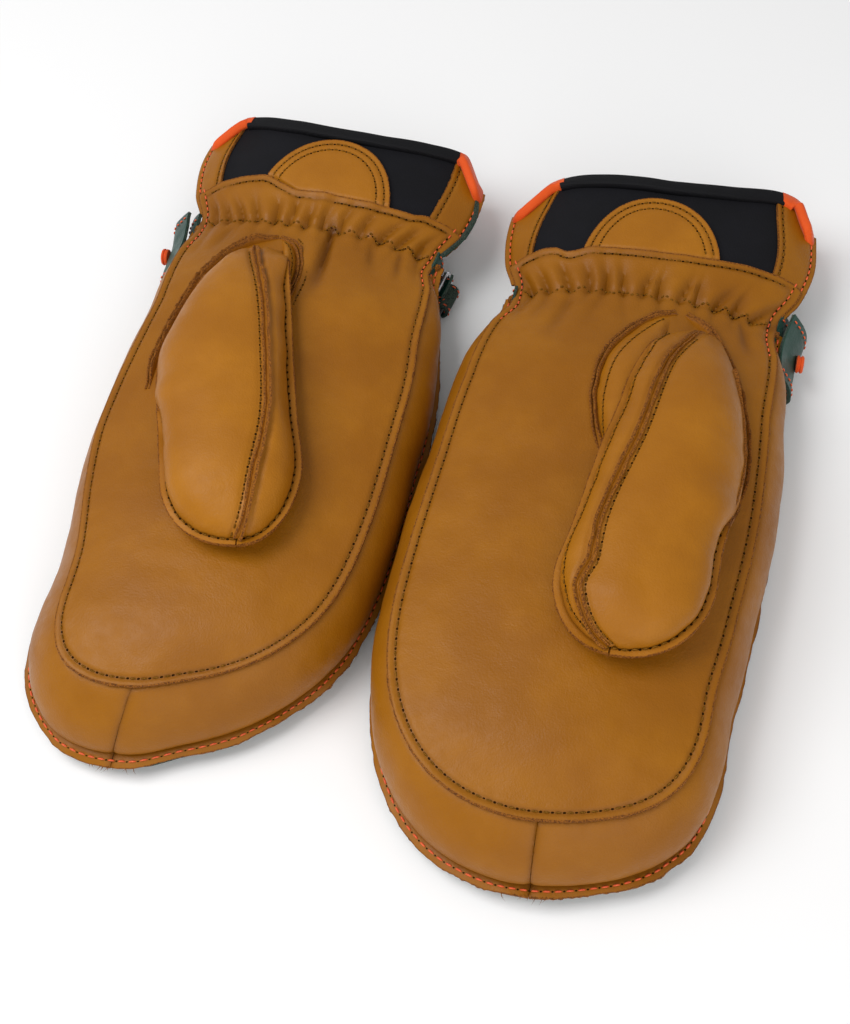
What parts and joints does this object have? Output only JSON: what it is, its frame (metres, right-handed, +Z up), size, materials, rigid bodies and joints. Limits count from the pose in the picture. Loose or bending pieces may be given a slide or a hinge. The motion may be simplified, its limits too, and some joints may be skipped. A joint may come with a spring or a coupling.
{
  "type": "ski glove",
  "caption": "Pair of insulated leather ski mittens with gathered wrists, softshell cuffs and wrist straps, lying palm up; thumbs, wrists and straps move.",
  "frame": {"origin": "centre of the pair's box, on the surface that the mittens lie on", "axes": "+Z up, out of the palms; fingertips towards -Y, cuff openings towards +Y; the left-hand mitten is at +X"},
  "size_m": [0.2556, 0.297, 0.0655],
  "materials": {
    "tan_leather": "waxed full-grain goat leather, fine grain, satin",
    "green_leather": "dyed full-grain leather, satin",
    "black_softshell": "matt woven stretch softshell",
    "black_binding": "folded knit binding, matt",
    "orange_binding": "folded knit binding, matt",
    "insulation": "quilted fibre insulation with brushed lining",
    "fleece": "brushed fleece",
    "elastic": "woven elastic tape",
    "hook_tape": "hook-and-loop tape, matt",
    "ring_metal": "black-coated steel wire"
  },
  "bodies": {
    "right_hand": {"right_palm_panel": "tan_leather", "right_band_thumb_side": "tan_leather", "right_band_little_finger_side": "tan_leather", "right_back_panel": "green_leather", "right_hand_liner": "insulation", "right_thumb_gusset": "tan_leather", "right_wrist_elastic": "elastic", "right_strap_base": "green_leather", "right_strap_loop_tape": "hook_tape", "right_strap_ring": "ring_metal", "right_strap_anchor": "green_leather"},
    "right_thumb": {"right_thumb_front_panel": "tan_leather", "right_thumb_side_panel": "tan_leather", "right_thumb_under_panel": "tan_leather", "right_thumb_liner": "insulation"},
    "right_cuff": {"right_wrist_ruffle": "tan_leather", "right_cuff_front_panel": "black_softshell", "right_cuff_strip_thumb_side": "tan_leather", "right_cuff_strip_little_finger_side": "tan_leather", "right_cuff_back_panel": "green_leather", "right_cuff_patch": "tan_leather", "right_cuff_lining": "fleece", "right_cuff_binding_front": "black_binding", "right_cuff_binding_back": "orange_binding"},
    "right_strap": {"right_strap_tail": "green_leather", "right_strap_hook_tape": "hook_tape", "right_strap_pull": "orange_binding"},
    "left_hand": {"left_palm_panel": "tan_leather", "left_band_thumb_side": "tan_leather", "left_band_little_finger_side": "tan_leather", "left_back_panel": "green_leather", "left_hand_liner": "insulation", "left_thumb_gusset": "tan_leather", "left_wrist_elastic": "elastic", "left_strap_base": "green_leather", "left_strap_loop_tape": "hook_tape", "left_strap_ring": "ring_metal", "left_strap_anchor": "green_leather"},
    "left_thumb": {"left_thumb_front_panel": "tan_leather", "left_thumb_side_panel": "tan_leather", "left_thumb_under_panel": "tan_leather", "left_thumb_liner": "insulation"},
    "left_cuff": {"left_wrist_ruffle": "tan_leather", "left_cuff_front_panel": "black_softshell", "left_cuff_strip_thumb_side": "tan_leather", "left_cuff_strip_little_finger_side": "tan_leather", "left_cuff_back_panel": "green_leather", "left_cuff_patch": "tan_leather", "left_cuff_lining": "fleece", "left_cuff_binding_front": "black_binding", "left_cuff_binding_back": "orange_binding"},
    "left_strap": {"left_strap_tail": "green_leather", "left_strap_hook_tape": "hook_tape", "left_strap_pull": "orange_binding"}
  },
  "joints": [
    {"name": "pair_spacing", "type": "slide", "parent": "right_hand", "child": "left_hand", "axis": [1, 0, 0], "range_m": [0, 0.1]},
    {"name": "right_thumb_lift", "type": "hinge", "parent": "right_hand", "child": "right_thumb", "pos_m": [-0.07664, 0.05829, 0.046], "axis": [-0.9744, -0.225, 0], "range_deg": [0, 40]},
    {"name": "right_wrist_flex", "type": "hinge", "parent": "right_hand", "child": "right_cuff", "pos_m": [-0.06604, 0.0845, 0.022], "axis": [0.9998, -0.0174, 0], "range_deg": [-20, 25], "deforming": ["right_wrist_elastic"]},
    {"name": "right_strap_peel", "type": "hinge", "parent": "right_hand", "child": "right_strap", "pos_m": [-0.00778, 0.06998, 0.0024], "axis": [-0.0174, -0.9998, 0], "range_deg": [0, 100]},
    {"name": "left_thumb_lift", "type": "hinge", "parent": "left_hand", "child": "left_thumb", "pos_m": [0.09028, 0.04889, 0.046], "axis": [-0.999, 0.0436, 0], "range_deg": [0, 40]},
    {"name": "left_wrist_flex", "type": "hinge", "parent": "left_hand", "child": "left_cuff", "pos_m": [0.06604, 0.0745, 0.022], "axis": [0.9998, 0.0174, 0], "range_deg": [-20, 25], "deforming": ["left_wrist_elastic"]},
    {"name": "left_strap_peel", "type": "hinge", "parent": "left_hand", "child": "left_strap", "pos_m": [0.00778, 0.05998, 0.0024], "axis": [-0.0174, 0.9998, 0], "range_deg": [0, 100]}
  ]
}
